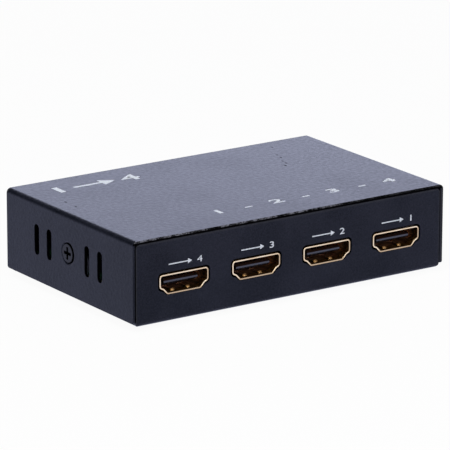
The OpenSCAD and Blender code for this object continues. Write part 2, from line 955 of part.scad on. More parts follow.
module power_jack_spring() {
  floor_z = -jack_bore_d / 2 - spring_slot_h;
  back_y = jack_bore_l - pocket_gap;
  crest_y = spring_foot - crest_set;
  rise = spring_slot_h + crest_rise;
  heel_y = spring_foot + spring_heel;
  color(tin)
    at_jack() {
      across_x(0, spring_w)
        polygon([
          [back_y, floor_z],
          [back_y, floor_z + spring_t],
          [heel_y, floor_z + spring_t],
          [crest_y, floor_z + rise],
          [crest_y - spring_lip, floor_z + rise - spring_t],
          [crest_y, floor_z + rise - spring_t * 1.4],
          [heel_y - 2 * spring_lap, floor_z]
        ]);
      across_x(0, spring_w)
        polygon([
          [heel_y + spring_lap, floor_z],
          [heel_y + spring_lap, floor_z + spring_t],
          [spring_foot - spring_t / 2, floor_z + spring_t],
          [spring_foot - spring_t / 2, -jack_rise - tail_drop],
          [spring_foot + spring_t / 2, -jack_rise - tail_drop],
          [spring_foot + spring_t / 2, floor_z]
        ]);
    }
}

module power_jack_switch() {
  color(tin)
    at_jack()
      block([jack_w / 2 - switch_in / 2, switch_y, -jack_rise - tail_drop],
        [switch_in, switch_w, jack_rise + tail_drop - pocket_gap]);
}

function lamp_lead_y() = panel_y - sheet_t - pocket_gap - lamp_flange_t - lead_reach;

module power_lamp() {
  flange_y = panel_y - sheet_t - pocket_gap;
  color([0.75, 0.1, 0.1])
    translate([lamp_x, flange_y, lamp_z])
      rotate([-90, 0, 0]) {
        translate([0, 0, -lamp_flange_t])
          cylinder(h = lamp_flange_t, d = lamp_flange_d);
        cylinder(h = lamp_body_l, d = lamp_d);
        translate([0, 0, lamp_body_l])
          intersection() {
            sphere(d = lamp_d);
            cylinder(h = lamp_d, d = lamp_d + over);
          }
      }
}

module power_lamp_leads() {
  back_y = panel_y - sheet_t - pocket_gap - lamp_flange_t;
  color(tin)
    for (s = [-1, 1])
      translate([lamp_x, 0, 0])
        across_x(s * lead_gap, lead_t)
          polygon([
            [back_y, lamp_z + lead_t / 2],
            [lamp_lead_y() - lead_t / 2, lamp_z + lead_t / 2],
            [lamp_lead_y() - lead_t / 2, board_z - leg_tail],
            [lamp_lead_y() + lead_t / 2, board_z - leg_tail],
            [lamp_lead_y() + lead_t / 2, lamp_z - lead_t / 2],
            [back_y, lamp_z - lead_t / 2]
          ]);
}

// One bent lead, drawn in depth and height: from a body's side at Y = 0 down to the board at Z = 0
module bent_lead(h, thick, out, foot) {
  polygon([
    [0, h],
    [out, h],
    [out, thick],
    [out + foot, thick],
    [out + foot, 0],
    [out - thick, 0],
    [out - thick, h - thick],
    [0, h - thick]
  ]);
}

module at_chip() {
  translate([0, chip_y, board_top])
    children();
}

module splitter_chip() {
  color(epoxy)
    at_chip()
      block([0, 0, chip_lift], [chip_w, chip_w, chip_t]);
}

module splitter_chip_leads() {
  color(tin)
    at_chip()
      for (a = [0, 90, 180, 270])
        rotate([0, 0, a])
          translate([0, chip_w / 2, 0])
            for (i = [0:chip_leads - 1])
              across_x((i - (chip_leads - 1) / 2) * lead_pitch, lead_w)
                bent_lead(chip_lift + chip_t / 2, lead_thick, lead_out, lead_foot);
}

module thermal_pad() {
  color([0.7, 0.72, 0.78])
    at_chip()
      block([0, 0, chip_lift + chip_t], [chip_w, chip_w, pad_t]);
}

module heat_sink() {
  step = (chip_w - sink_fin_t) / (sink_fins - 1);
  color([0.55, 0.56, 0.58])
    at_chip()
      translate([0, 0, chip_lift + chip_t + pad_t]) {
        block([0, 0, 0], [chip_w, chip_w, sink_base]);
        for (i = [0:sink_fins - 1])
          block([(i - (sink_fins - 1) / 2) * step, 0, sink_base], [sink_fin_t, chip_w, sink_h - sink_base]);
      }
}

module small_body(at, l, w) {
  block([at[0], at[1], board_top + chip_lift], [l, w, small_t]);
}

module small_leads(at, w, count, pitch, lead, sides) {
  for (a = sides)
    translate([at[0], at[1], board_top])
      rotate([0, 0, a])
        translate([0, w / 2, 0])
          for (i = [0:count - 1])
            across_x((i - (count - 1) / 2) * pitch, lead)
              bent_lead(chip_lift + small_t / 2, small_lead_t, small_lead_out, small_lead_foot);
}

module memory_chip() {
  color(epoxy)
    small_body(memory_at, small_l, small_w);
}

module converter_chip() {
  color(epoxy)
    small_body(converter_at, small_l, small_w);
}

module regulator() {
  color(epoxy)
    small_body(regulator_at, regulator_l, regulator_w);
}

module small_chip_leads() {
  color(tin) {
    small_leads(memory_at, small_w, 4, small_pitch, small_lead_w, [0, 180]);
    small_leads(converter_at, small_w, 4, small_pitch, small_lead_w, [0, 180]);
    small_leads(regulator_at, regulator_w, 3, regulator_pitch, regulator_lead_w, [180]);
    small_leads(regulator_at, regulator_w, 1, regulator_pitch, tab_w, [0]);
  }
}

module inductor_core() {
  color([0.25, 0.25, 0.27])
    translate([coil_at[0], coil_at[1], board_top + coil_foot_t])
      difference() {
        block([0, 0, 0], [coil_w, coil_w, coil_h]);
        for (a = [0, 90, 180, 270])
          rotate([0, 0, a])
            translate([coil_w / 2, coil_w / 2, -over])
              rotate([0, 0, 45])
                translate([-coil_corner / 2, -coil_corner, 0])
                  cube([coil_corner + over, 2 * coil_corner, coil_h + 2 * over]);
      }
}

module inductor_terminals() {
  color(tin)
    for (s = [-1, 1])
      block([coil_at[0] + s * (coil_w - coil_foot_w) / 2, coil_at[1], board_top],
        [coil_foot_w, coil_foot_l, coil_foot_t]);
}

module capacitor_cans() {
  bead = 0.4;
  color([0.8, 0.8, 0.82])
    for (p = can_at)
      translate([p[0], p[1], board_top + can_base_h]) {
        cylinder(h = can_h - bead, d = can_d);
        translate([0, 0, can_h - bead])
          cylinder(h = bead, d1 = can_d, d2 = can_d - 2 * bead);
      }
}

module capacitor_bases() {
  cut = 1;
  color([0.06, 0.06, 0.06])
    for (p = can_at)
      translate([p[0], p[1], board_top])
        linear_extrude(can_base_h)
          polygon([
            [-can_base_w / 2, -can_base_w / 2],
            [can_base_w / 2, -can_base_w / 2],
            [can_base_w / 2, can_base_w / 2 - cut],
            [can_base_w / 2 - cut, can_base_w / 2],
            [cut - can_base_w / 2, can_base_w / 2],
            [-can_base_w / 2, can_base_w / 2 - cut]
          ]);
}

module crystal_can() {
  brim = 0.4;
  color(tin)
    translate([crystal_at[0], crystal_at[1], board_top])
      for (part = [[brim, 0, brim], [0, brim, crystal_h - brim]])
        translate([0, 0, part[1]])
          linear_extrude(part[2])
            union() {
              square([crystal_l - crystal_w, crystal_w + 2 * part[0]], center = true);
              for (e = [-1, 1])
                translate([e * (crystal_l - crystal_w) / 2, 0])
                  circle(d = crystal_w + 2 * part[0]);
            }
}

module rectifier_diode() {
  color(epoxy)
    block([diode_at[0], diode_at[1], board_top], [diode_l, diode_w, diode_t]);
}

module port_fuses() {
  color([0.1, 0.4, 0.2])
    for (i = [1:port_count])
      block([port_x(i) - sign(port_x(i)) * fuse_x, row_y, board_top], [fuse_l, fuse_w, fuse_t]);
}

module surge_arrays() {
  color(epoxy)
    for (i = [1:port_count], s = [-1, 1])
      block([port_x(i) + s * surge_x, row_y, board_top], [surge_l, surge_w, surge_t]);
}

module chip_capacitors() {
  color([0.65, 0.5, 0.35])
    at_chip()
      for (a = [0, 90, 180, 270], i = [0:ring_count - 1])
        rotate([0, 0, a])
          block([(i - (ring_count - 1) / 2) * ring_pitch, chip_w / 2 + ring_gap, 0],
            [chip_part_l, chip_part_w, chip_part_t]);
}

module chip_resistors() {
  color([0.09, 0.09, 0.1])
    for (i = [1:port_count], k = [0:array_count - 1])
      block([port_x(i) + (k - (array_count - 1) / 2) * array_pitch, array_y, board_top],
        [chip_part_w, chip_part_l, chip_part_t]);
}

base_tray();
top_cover();
cover_screws();
rubber_feet();
board_standoffs();
board_screws();
circuit_board();
output_shell(1);  // output_shell_1
output_shell(2);  // output_shell_2
output_shell(3);  // output_shell_3
output_shell(4);  // output_shell_4
output_tongue(1);  // output_tongue_1
output_tongue(2);  // output_tongue_2
output_tongue(3);  // output_tongue_3
output_tongue(4);  // output_tongue_4
output_contacts(1);  // output_contacts_1
output_contacts(2);  // output_contacts_2
output_contacts(3);  // output_contacts_3
output_contacts(4);  // output_contacts_4
input_shell();
input_tongue();
input_contacts();
power_jack_housing();
power_jack_pin();
power_jack_spring();
power_jack_switch();
power_lamp();
power_lamp_leads();
splitter_chip();
splitter_chip_leads();
thermal_pad();
heat_sink();
memory_chip();
converter_chip();
regulator();
small_chip_leads();
inductor_core();
inductor_terminals();
capacitor_cans();
capacitor_bases();
crystal_can();
rectifier_diode();
port_fuses();
surge_arrays();
chip_capacitors();
chip_resistors();
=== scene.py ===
import math

import bpy
from mathutils import Matrix, Vector


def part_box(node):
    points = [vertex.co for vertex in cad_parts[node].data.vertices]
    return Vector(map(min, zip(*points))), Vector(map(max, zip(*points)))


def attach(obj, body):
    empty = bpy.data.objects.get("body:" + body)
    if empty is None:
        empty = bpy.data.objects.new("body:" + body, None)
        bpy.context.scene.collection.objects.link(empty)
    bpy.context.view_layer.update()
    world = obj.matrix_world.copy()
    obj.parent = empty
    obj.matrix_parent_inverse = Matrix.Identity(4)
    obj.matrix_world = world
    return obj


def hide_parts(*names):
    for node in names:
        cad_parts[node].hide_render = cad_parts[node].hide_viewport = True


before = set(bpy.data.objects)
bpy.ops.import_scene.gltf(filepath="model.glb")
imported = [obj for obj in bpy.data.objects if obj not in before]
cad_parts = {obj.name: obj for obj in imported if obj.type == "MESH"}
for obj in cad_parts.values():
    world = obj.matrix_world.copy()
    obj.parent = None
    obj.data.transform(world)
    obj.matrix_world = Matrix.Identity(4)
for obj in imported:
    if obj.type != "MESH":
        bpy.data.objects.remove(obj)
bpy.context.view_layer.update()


# Base tray. One 0.8 mm steel sheet, cut and folded up into the output panel, the input panel, two
# low side flanges and two screw ears, then powder coated in a fine black grain. All the other
# pieces are built into it.
class Tone:
    """A socket in a material. Sums on it add Math nodes."""

    def __init__(self, tree, socket=None):
        self.tree = tree
        self.socket = socket

    def node(self, kind, settings=None, sockets=None, out=0):
        """A node of a kind, with its settings and then the values or links of its sockets."""
        made = self.tree.nodes.new(kind)
        for name, value in (settings or {}).items():
            setattr(made, name, value)
        for name, value in (sockets or {}).items():
            if isinstance(value, Tone):
                self.tree.links.new(value.socket, made.inputs[name])
            else:
                made.inputs[name].default_value = value
        return Tone(self.tree, made.outputs[out])

    def sum(self, operation, first, second=0.0):
        return self.node("ShaderNodeMath", {"operation": operation}, {0: first, 1: second})

    def __add__(self, other):
        return self.sum("ADD", self, other)

    def __radd__(self, other):
        return self.sum("ADD", other, self)

    def __sub__(self, other):
        return self.sum("SUBTRACT", self, other)

    def __rsub__(self, other):
        return self.sum("SUBTRACT", other, self)

    def __mul__(self, other):
        return self.sum("MULTIPLY", self, other)

    def __rmul__(self, other):
        return self.sum("MULTIPLY", other, self)

    def __abs__(self):
        return self.sum("ABSOLUTE", self)

    def most(self, other):
        """The larger of the two."""
        return self.sum("MAXIMUM", self, other)

    def root(self):
        return self.sum("SQRT", self)

    def between(self, low, high):
        """0 up to low, 1 from high, with a soft step from one to the other."""
        return self.node("ShaderNodeMapRange", {"interpolation_type": "SMOOTHSTEP"},
                         {"Value": self, "From Min": low, "From Max": high})

    def mix(self, first, second):
        """From one colour to another as this goes from 0 to 1."""
        return self.node("ShaderNodeMix", {"data_type": "RGBA"},
                         {0: self, 6: first, 7: second}, out=2)

    def axis(self, letter):
        return self.node("ShaderNodeSeparateXYZ", None, {"Vector": self}, out=letter)

    def grain(self, size, detail=3.0):
        """Cloudy noise whose lumps are about as large as size."""
        return self.node("ShaderNodeTexNoise", None,
                         {"Vector": self, "Scale": 1 / size, "Detail": detail})

    def bands(self, letter, size, waver):
        """Bands across an axis that waver a little, as a lathe or a lay of fibre gives them."""
        return self.node("ShaderNodeTexWave", {"wave_type": "BANDS", "bands_direction": letter},
                         {"Vector": self, "Scale": 1 / size, "Distortion": waver, "Detail": 2.0})

    def relief(self, depth, strength=1.0):
        return self.node("ShaderNodeBump", None,
                         {"Height": self, "Distance": depth, "Strength": strength})


mm = 0.001


def rgb(*colour):
    return (*colour, 1.0)


def finish(name):
    """A new material, and the tone that gives a place on the piece in metres."""
    material = bpy.data.materials.new(name)
    material.use_nodes = True
    return material, Tone(material.node_tree).node("ShaderNodeTexCoord", out="Object")


def lay(material, **sockets):
    """Links or sets the shader's sockets, with _ for the space in their names."""
    shader = material.node_tree.nodes["Principled BSDF"]
    for name, value in sockets.items():
        socket = shader.inputs[name.replace("_", " ")]
        if isinstance(value, Tone):
            material.node_tree.links.new(value.socket, socket)
        else:
            socket.default_value = value


same_point = 0.001 * mm
flat_fold = math.radians(0.5)
smooth_fold = math.radians(35)


def rounded(node, name, edge, material, least=38, shape=None):
    """A copy of a piece of the construction, in that piece's place, with its edges of at least
    some degrees rounded off. Shape is called with the copy before they are."""
    bpy.ops.object.select_all(action="DESELECT")
    piece = bpy.data.objects.new(name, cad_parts[node].data.copy())
    bpy.context.scene.collection.objects.link(piece)
    piece.data.materials.clear()
    piece.data.materials.append(material)
    bpy.context.view_layer.objects.active = piece
    piece.select_set(True)
    bpy.ops.object.mode_set(mode="EDIT")
    bpy.ops.mesh.select_all(action="SELECT")
    bpy.ops.mesh.remove_doubles(threshold=same_point)
    bpy.ops.mesh.dissolve_limited(angle_limit=flat_fold)
    bpy.ops.object.mode_set(mode="OBJECT")
    if shape:
        shape(piece)
    bevel = piece.modifiers.new("edges", "BEVEL")
    bevel.width = edge
    bevel.segments = 2
    bevel.limit_method = "ANGLE"
    bevel.angle_limit = math.radians(least)
    bpy.ops.object.modifier_apply(modifier=bevel.name)
    bpy.ops.object.shade_smooth_by_angle(angle=smooth_fold)
    flats = piece.modifiers.new("flats", "WEIGHTED_NORMAL")
    flats.keep_sharp = True
    bpy.ops.object.modifier_apply(modifier=flats.name)
    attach(piece, "root")
    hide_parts(node)
    return piece


coat_dark = rgb(0.0008, 0.0017, 0.0042)
coat_light = rgb(0.0152, 0.0164, 0.0259)
# Near black for bare cut steel, and painted as shade on the cover's slot walls, inner sides and
# gap.
bare_and_shade_black = rgb(0.0015, 0.0014, 0.0013)
# Light steel for scuffs, also laid as a painted highlight on the dimple's lip and as painted light
# on the right side's cut edge.
scuffed_steel_and_highlight = rgb(0.160, 0.155, 0.140)
dust_size = 0.22 * mm
mottle_size = 0.5 * mm
peel_size = 1.0 * mm
cloud_size = 16 * mm
peel_depth = 0.092 * mm


def powder_coat(name, wear_and_light_marks):
    """The case's coat. Its second argument reads a place and says where the coat gives way to near
    black, for bare steel and for painted shade, and where to light steel, for scuffs and for
    painted highlights."""
    coat, place = finish(name)
    bare_and_shade, scuffs_and_highlights = wear_and_light_marks(place)
    peel = place.grain(peel_size, 2.0)
    dust = place.grain(dust_size, 2.0)
    specks = dust.between(0.42, 0.64)
    cloud = place.grain(cloud_size, 2.0).between(0.36, 0.66)
    mottle = place.grain(mottle_size, 2.0).between(0.40, 0.60)
    shade = (cloud * 0.30 + specks * 0.50 + mottle * 0.20).mix(coat_dark, coat_light)
    rough = 0.30 + peel.between(0.3, 0.7) * 0.06 + cloud * 0.02
    lay(coat,
        Base_Color=scuffs_and_highlights.mix(bare_and_shade.mix(shade, bare_and_shade_black), scuffed_steel_and_highlight),
        Metallic=bare_and_shade.most(scuffs_and_highlights),
        Roughness=rough + bare_and_shade * (1 - scuffs_and_highlights) * 0.6,
        Normal=(peel * 0.8 + dust * 0.2).relief(peel_depth, 0.6),
        IOR=1.21)
    return coat


tray_low, tray_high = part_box("base_tray")
tray_edge = 0.12 * mm
side_rub = (tray_high.x - 0.45 * mm, tray_high.x - 0.2 * mm)
top_rub = (tray_high.z - 0.7 * mm, tray_high.z - 0.2 * mm)
cut_top = (tray_high.z - 0.03 * mm, tray_high.z - 0.01 * mm)
rub_size = 1.2 * mm
rub_share = 0.06


def worn_on_tray(place):
    """The panels' cut upper edge is bare, and the coat along the sides and the top shows rubbing.
    """
    side = abs(place.axis("X")).between(*side_rub)
    top = place.axis("Z").between(*top_rub)
    rub_and_glint = side.most(top) * (0.5 + place.grain(rub_size, 4.0))
    return place.axis("Z").between(*cut_top), rub_and_glint * rub_share


panel_back = tray_low.y + 0.85 * mm
cutout_reach = 1.0 * mm
cutout_height = 6.2 * mm
cutout_room = 0.35 * mm
output_boxes = [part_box(f"output_shell_{number}") for number in (1, 2, 3, 4)]


def widen_cutouts(piece):
    """Gives the outputs' cut-outs more room on the right."""
    for point in piece.data.vertices:
        in_panel = point.co.y < panel_back
        for low, high in output_boxes:
            right_half = 0.5 * (low.x + high.x) < point.co.x < high.x + cutout_reach
            at_its_height = -cutout_height < point.co.z - high.z < cutout_reach
            if in_panel and right_half and at_its_height:
                point.co.x += cutout_room
                break


rounded("base_tray", "base_tray_folded", tray_edge,
        powder_coat("tray_coat", worn_on_tray), shape=widen_cutouts)


# Rubber feet. Four moulded discs of soft black rubber, stuck to the tray's underside with a thin
# pad of glue. Their lower edge is chamfered, and it takes up dust from the table.
def dress(node, material):
    """Gives a piece of the construction a material."""
    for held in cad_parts[node].material_slots:
        held.material = material


rubber_dark, rubber_light = rgb(0.012, 0.012, 0.012), rgb(0.022, 0.022, 0.023)
table_dust = rgb(0.11, 0.105, 0.095)
rubber, on_foot = finish("foot_rubber")
rubber_grain = on_foot.grain(0.30 * mm, 4.0)
rubber_shade = rubber_grain.between(0.4, 0.7).mix(rubber_dark, rubber_light)
near_table = 1 - on_foot.axis("Z").between(0.05 * mm, 0.55 * mm)
dusty = near_table * on_foot.grain(1.4 * mm).between(0.4, 0.65)
lay(rubber,
    Base_Color=dusty.mix(rubber_shade, table_dust),
    Roughness=0.72 + dusty * 0.2,
    Normal=rubber_grain.relief(0.03 * mm, 0.7),
    IOR=1.45)
dress("rubber_feet", rubber)

# Standoffs. Four steel hexagons with a tapped bore, turned from bar and zinc plated. They are
# pressed into holes of the tray's floor and carry the circuit board.
zinc_dark, zinc_light = rgb(0.56, 0.56, 0.55), rgb(0.70, 0.70, 0.69)
spangle_size = 1.3 * mm
zinc, on_post = finish("plated_steel")
spangle = on_post.node("ShaderNodeTexVoronoi", None,
                       {"Vector": on_post, "Scale": 1 / spangle_size}, out="Color")
lay(zinc,
    Base_Color=spangle.axis("X").mix(zinc_dark, zinc_light),
    Metallic=1.0,
    Roughness=0.30 + spangle.axis("Y") * 0.12,
    Normal=on_post.bands("Z", 1.1 * mm, waver=1.5).relief(0.01 * mm, 0.35))
dress("board_standoffs", zinc)

# Circuit board. Glass-fibre laminate 1.6 mm thick under a green lacquer, with copper traces that
# show through it, tinned holes, and bare fibre at its cut edges. It lies on the standoffs.
board_low, board_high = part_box("circuit_board")
board_half = (board_high - board_low) / 2
lacquer_green, trace_green = rgb(0.006, 0.055, 0.019), rgb(0.014, 0.100, 0.033)
hole_tin = rgb(0.60, 0.60, 0.58)
fibre_dark, fibre_light = rgb(0.30, 0.28, 0.12), rgb(0.42, 0.40, 0.22)
bare_from, bare_full = 0.08 * mm, 0.02 * mm
bundle_size = 9 * mm
trace_pitch = 0.9 * mm
hole_pitch = 3.1 * mm
lacquer, on_board = finish("solder_mask")
across = on_board.axis("X")
along = on_board.axis("Y")
edge_x = abs(across).between(board_half.x - bare_from, board_half.x - bare_full)
edge_y = abs(along).between(board_half.y - bare_from, board_half.y - bare_full)
cut_edge = (edge_x + edge_y).between(0.1, 0.6)
bundle = on_board.grain(bundle_size, 1.0)
wander = across * (1 / trace_pitch) + bundle * 6
traces = wander.sum("PINGPONG", wander, 0.5).between(0.27, 0.31) * bundle.between(0.44, 0.47)
hole_spots = on_board.node("ShaderNodeTexVoronoi", None,
                           {"Vector": on_board, "Scale": 1 / hole_pitch})
hole = 1 - hole_spots.between(0.05, 0.07)
fibre = on_board.bands("Z", 0.6 * mm, waver=0.6)
green = traces.mix(lacquer_green, trace_green)
lay(lacquer,
    Base_Color=cut_edge.mix(hole.mix(green, hole_tin), fibre.mix(fibre_dark, fibre_light)),
    Metallic=hole * (1 - cut_edge),
    Roughness=0.28 + cut_edge * 0.45 + bundle * 0.1,
    Normal=(traces * 0.8 + hole * 0.6 + fibre * cut_edge * 0.5).relief(0.03 * mm, 0.5))
dress("circuit_board", lacquer)

# Receptacles. Each is a strip of brass, stamped with four spring fingers, wrapped round a black
# moulded tongue and gilded; nineteen gilt contacts lie in the tongue's grooves. Its legs are
# soldered into the board.
shell_low, shell_high = output_boxes[0]
input_low, input_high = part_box("input_shell")
tongue_low, tongue_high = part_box("output_tongue_1")
rim_y = -shell_low.y
mouth_z = 0.5 * (tongue_low.z + tongue_high.z)
half_pitch = 11 * mm
finger_x = 2.35 * mm
shell_edge = 0.10 * mm
rim_gilt, rim_bright = rgb(0.80, 0.59, 0.31), rgb(0.88, 0.70, 0.41)
# The rim's darker gold and the four browns are painted shade; the last two golds are painted light
# on the mouth's right wall and painted highlights on the fingers' tips.
rim_painted_shade = rgb(0.55, 0.39, 0.20)
near_dark, near_light = rgb(0.045, 0.021, 0.0055), rgb(0.24, 0.113, 0.028)
deep_dark, deep_light = rgb(0.32, 0.16, 0.085), rgb(0.42, 0.21, 0.11)
right_wall_painted_light = rgb(1.0, 0.54, 0.25)
finger_glint_gold = rgb(0.95, 0.56, 0.21)


def gilt_shell(name, facing, middle):
    """Gilt stamped brass, burnished on the rim. Painted shade darkens the rim's lower and right
    parts and makes the gilt dark brown in the mouth and behind the panel; painted light brightens
    the mouth's right wall, and painted highlights sit on the fingers' tips."""
    gilt, place = finish(name)
    depth = rim_y - place.axis("Y") * facing
    beside = place.axis("X") - middle + half_pitch
    aside = beside.sum("FLOORED_MODULO", beside, 2 * half_pitch) - half_pitch
    height = place.axis("Z") - mouth_z
    drawn = place.grain(0.5 * mm, 4.0)
    cloud = place.grain(3 * mm, 2.0).between(0.35, 0.65)
    inside = depth.between(0.06 * mm, 0.18 * mm)
    finger = 1 - abs(abs(aside) - finger_x).between(0.25 * mm, 0.50 * mm)
    # Painted highlight: a brighter gold on the fingers' tips, where light glints.
    fingertip = depth.between(1.45 * mm, 1.55 * mm) * (1 - depth.between(2.1 * mm, 2.5 * mm))
    lower_wall = 1 - height.between(-1.7 * mm, -1.5 * mm)
    rub_and_glint = fingertip * lower_wall * finger
    # Painted shade: the rim's lower and right parts are a darker gold.
    lower_rim = 1 - height.between(-2.3 * mm, -1.7 * mm)
    right_rim = aside.between(6.7 * mm, 7.0 * mm)
    rim = lower_rim.most(right_rim).mix(cloud.mix(rim_gilt, rim_bright), rim_painted_shade)
    # Painted shade: past the rim, in the mouth and behind the panel, the gilt is dark brown.
    near = drawn.between(0.38, 0.66).mix(near_dark, near_light)
    # Painted light: deep in the mouth, the right wall is a brighter gold.
    right_wall_lit = aside.between(5.2 * mm, 6.2 * mm)
    deep = right_wall_lit.mix(cloud.mix(deep_dark, deep_light), right_wall_painted_light)
    mouth_painted_shade = depth.between(1.8 * mm, 4.0 * mm).mix(near, deep)
    lay(gilt,
        Base_Color=rub_and_glint.mix(inside.mix(rim, mouth_painted_shade), finger_glint_gold),
        Metallic=1.0,
        Roughness=0.28 + inside * 0.20 - rub_and_glint * 0.16 + (drawn - 0.5) * 0.12,
        Normal=drawn.relief(0.01 * mm, 0.4))
    return gilt


resin_dark, resin_light = rgb(0.009, 0.009, 0.013), rgb(0.016, 0.016, 0.023)
ramp_painted_reflection = rgb(0.080, 0.054, 0.052)
resin, on_tongue = finish("receptacle_resin")
moulded = on_tongue.grain(0.25 * mm, 4.0)
resin_shade = moulded.between(0.35, 0.68).mix(resin_dark, resin_light)
# Painted reflection: the tongue's top and upper ramp get a warm metallic tint.
ramp = (on_tongue.axis("Z") - mouth_z).between(0.38 * mm, 0.46 * mm)
lay(resin,
    Base_Color=ramp.mix(resin_shade, ramp_painted_reflection),
    Metallic=ramp,
    Roughness=0.30 + (moulded - 0.5) * 0.25,
    Normal=moulded.relief(0.008 * mm, 0.6),
    IOR=1.6)
contact_dark, contact_light = rgb(0.75, 0.50, 0.20), rgb(0.90, 0.66, 0.32)
contact_gilt, on_contact = finish("gilt")
wiped = on_contact.grain(0.4 * mm, 3.0)
lay(contact_gilt,
    Base_Color=wiped.between(0.35, 0.7).mix(contact_dark, contact_light),
    Metallic=1.0,
    Roughness=0.20 + wiped * 0.2,
    Normal=wiped.relief(0.005 * mm, 0.4))
gilt_front = gilt_shell("gilt_front", -1, 0.5 * (shell_low.x + shell_high.x))
gilt_rear = gilt_shell("gilt_rear", 1, 0.5 * (input_low.x + input_high.x))
for port in ("output_1", "output_2", "output_3", "output_4", "input"):
    kind, dash, number = port.partition("_")
    shell_node = f"{kind}_shell{dash}{number}"
    shell_gilt = gilt_rear if port == "input" else gilt_front
    rounded(shell_node, f"{shell_node}_rolled", shell_edge, shell_gilt)
    dress(f"{kind}_tongue{dash}{number}", resin)
    dress(f"{kind}_contacts{dash}{number}", contact_gilt)


# Power inlet. A moulded black housing with a round nose that fills its hole in the rear panel, a
# turned centre pin riveted at the back, and two stamped and tinned springs, all soldered into the
# board.
def speckled(name, dark, light, size, rough, depth, **sockets):
    """A finish of two close shades in grains of one size, with the gloss and relief that go with
    them."""
    material, place = finish(name)
    fine = place.grain(size, 4.0)
    broad = place.grain(size * 9, 2.0).between(0.35, 0.65)
    shade = (fine.between(0.35, 0.68) * 0.65 + broad * 0.35)
    lay(material,
        Base_Color=shade.mix(rgb(*dark), rgb(*light)),
        Roughness=rough + (fine - 0.5) * 0.25 + broad * 0.05,
        Normal=fine.relief(depth, 0.6),
        **sockets)
    return material


dress("power_jack_housing", speckled(
    "inlet_plastic", dark=(0.010, 0.010, 0.011), light=(0.020, 0.020, 0.022),
    size=0.35 * mm, rough=0.42, depth=0.02 * mm, IOR=1.5))
nickel_dark, nickel_light = rgb(0.60, 0.58, 0.54), rgb(0.74, 0.72, 0.68)
turned, on_pin = finish("turned_nickel")
lathe = on_pin.bands("Y", 0.7 * mm, waver=0.8)
lay(turned,
    Base_Color=lathe.mix(nickel_dark, nickel_light),
    Metallic=1.0,
    Roughness=0.18 + lathe * 0.12,
    Normal=lathe.relief(0.008 * mm, 0.35))
dress("power_jack_pin", turned)


def tinned(name, size):
    """Bright tin, with the soft clouds of a dipped or plated lead."""
    return speckled(name, dark=(0.56, 0.56, 0.57), light=(0.75, 0.75, 0.76),
                    size=size, rough=0.30, depth=0.006 * mm, Metallic=1.0)


stamped_tin = tinned("stamped_tin", 0.45 * mm)
dress("power_jack_spring", stamped_tin)
dress("power_jack_switch", stamped_tin)

# Power lamp. A 3 mm lamp of red-tinted resin with a flange behind the panel; its two square leads
# bend down into the board.
lens_low, lens_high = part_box("power_lamp")
lens_dark, lens_red = rgb(0.16, 0.008, 0.008), rgb(0.45, 0.030, 0.022)
lens, on_lens = finish("lamp_lens")
towards_tip = on_lens.axis("Y").between(lens_low.y, lens_high.y)
swirl = on_lens.grain(0.8 * mm, 2.0)
lay(lens,
    Base_Color=(towards_tip * 0.7 + swirl * 0.3).mix(lens_dark, lens_red),
    Roughness=0.12 + swirl * 0.08,
    Normal=swirl.relief(0.01 * mm, 0.2),
    Transmission_Weight=0.35,
    IOR=1.5,
    Coat_Weight=0.5)
dress("power_lamp", lens)
lead_tin = tinned("tinned_lead", 0.35 * mm)
dress("power_lamp_leads", lead_tin)


# Splitter chip. A flat epoxy body with a hundred tinned leads, a soft silicone pad on its back,
# and a finned heat sink of extruded aluminium pressed on the pad.
def apart(first, second):
    """How far a place is from a point, from its distances along two axes."""
    return (first * first + second * second).root()


epoxy_dark, epoxy_light = rgb(0.014, 0.014, 0.015), rgb(0.028, 0.028, 0.030)
mark_inset = 0.17
mark_inner, mark_outer = 0.055, 0.065


def epoxy_body(name, nodes):
    """Black moulding compound, frosted by sparks in the mould, with a smooth round mark at one
    corner."""
    epoxy, place = finish(name)
    frost = place.grain(0.16 * mm, 3.0)
    stain = place.grain(2.5 * mm, 2.0).between(0.35, 0.65)
    mark = None
    for node in nodes:
        low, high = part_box(node)
        size = min(high.x - low.x, high.y - low.y)
        away = apart(place.axis("X") - (low.x + mark_inset * size),
                     place.axis("Y") - (low.y + mark_inset * size))
        spot = 1 - away.between(mark_inner * size, mark_outer * size)
        mark = spot if mark is None else mark + spot
    shade = frost.between(0.35, 0.7) * 0.7 + stain * 0.3
    lay(epoxy,
        Base_Color=shade.mix(epoxy_dark, epoxy_light),
        Roughness=0.62 - mark * 0.35 + stain * 0.06,
        Normal=(frost * (1 - mark) - mark * 1.5).relief(0.02 * mm, 0.6),
        IOR=1.5)
    return epoxy


dress("splitter_chip", epoxy_body("chip_epoxy", ["splitter_chip"]))
chip_tin = tinned("chip_lead_tin", 0.2 * mm)
dress("splitter_chip_leads", chip_tin)
dress("thermal_pad", speckled(
    "pad_silicone", dark=(0.30, 0.33, 0.42), light=(0.42, 0.45, 0.54),
    size=0.5 * mm, rough=0.66, depth=0.03 * mm, IOR=1.4))
sink_dark, sink_light = rgb(0.40, 0.41, 0.42), rgb(0.58, 0.59, 0.60)
drawn_out = (1.0, 0.03, 1.0)
line_size = 0.12 * mm
sink, on_sink = finish("sink_aluminium")
lengthwise = on_sink.node("ShaderNodeMapping", None, {"Vector": on_sink, "Scale": drawn_out})
drawn_line = lengthwise.grain(line_size)
sink_thicknessint = on_sink.grain(4 * mm, 2.0).between(0.35, 0.65)
lay(sink,
    Base_Color=(drawn_line * 0.7 + sink_thicknessint * 0.3).mix(sink_dark, sink_light),
    Metallic=1.0,
    Roughness=0.34 + drawn_line * 0.16,
    Normal=drawn_line.relief(0.012 * mm, 0.5))
dress("heat_sink", sink)

# Small chips. The settings memory, the supply's converter and its regulator: the same black
# compound in smaller moulds, on bent and tinned leads.
small_chips = ["memory_chip", "converter_chip", "regulator"]
small_epoxy = epoxy_body("small_chip_epoxy", small_chips)
for node in small_chips:
    dress(node, small_epoxy)
dress("small_chip_leads", chip_tin)

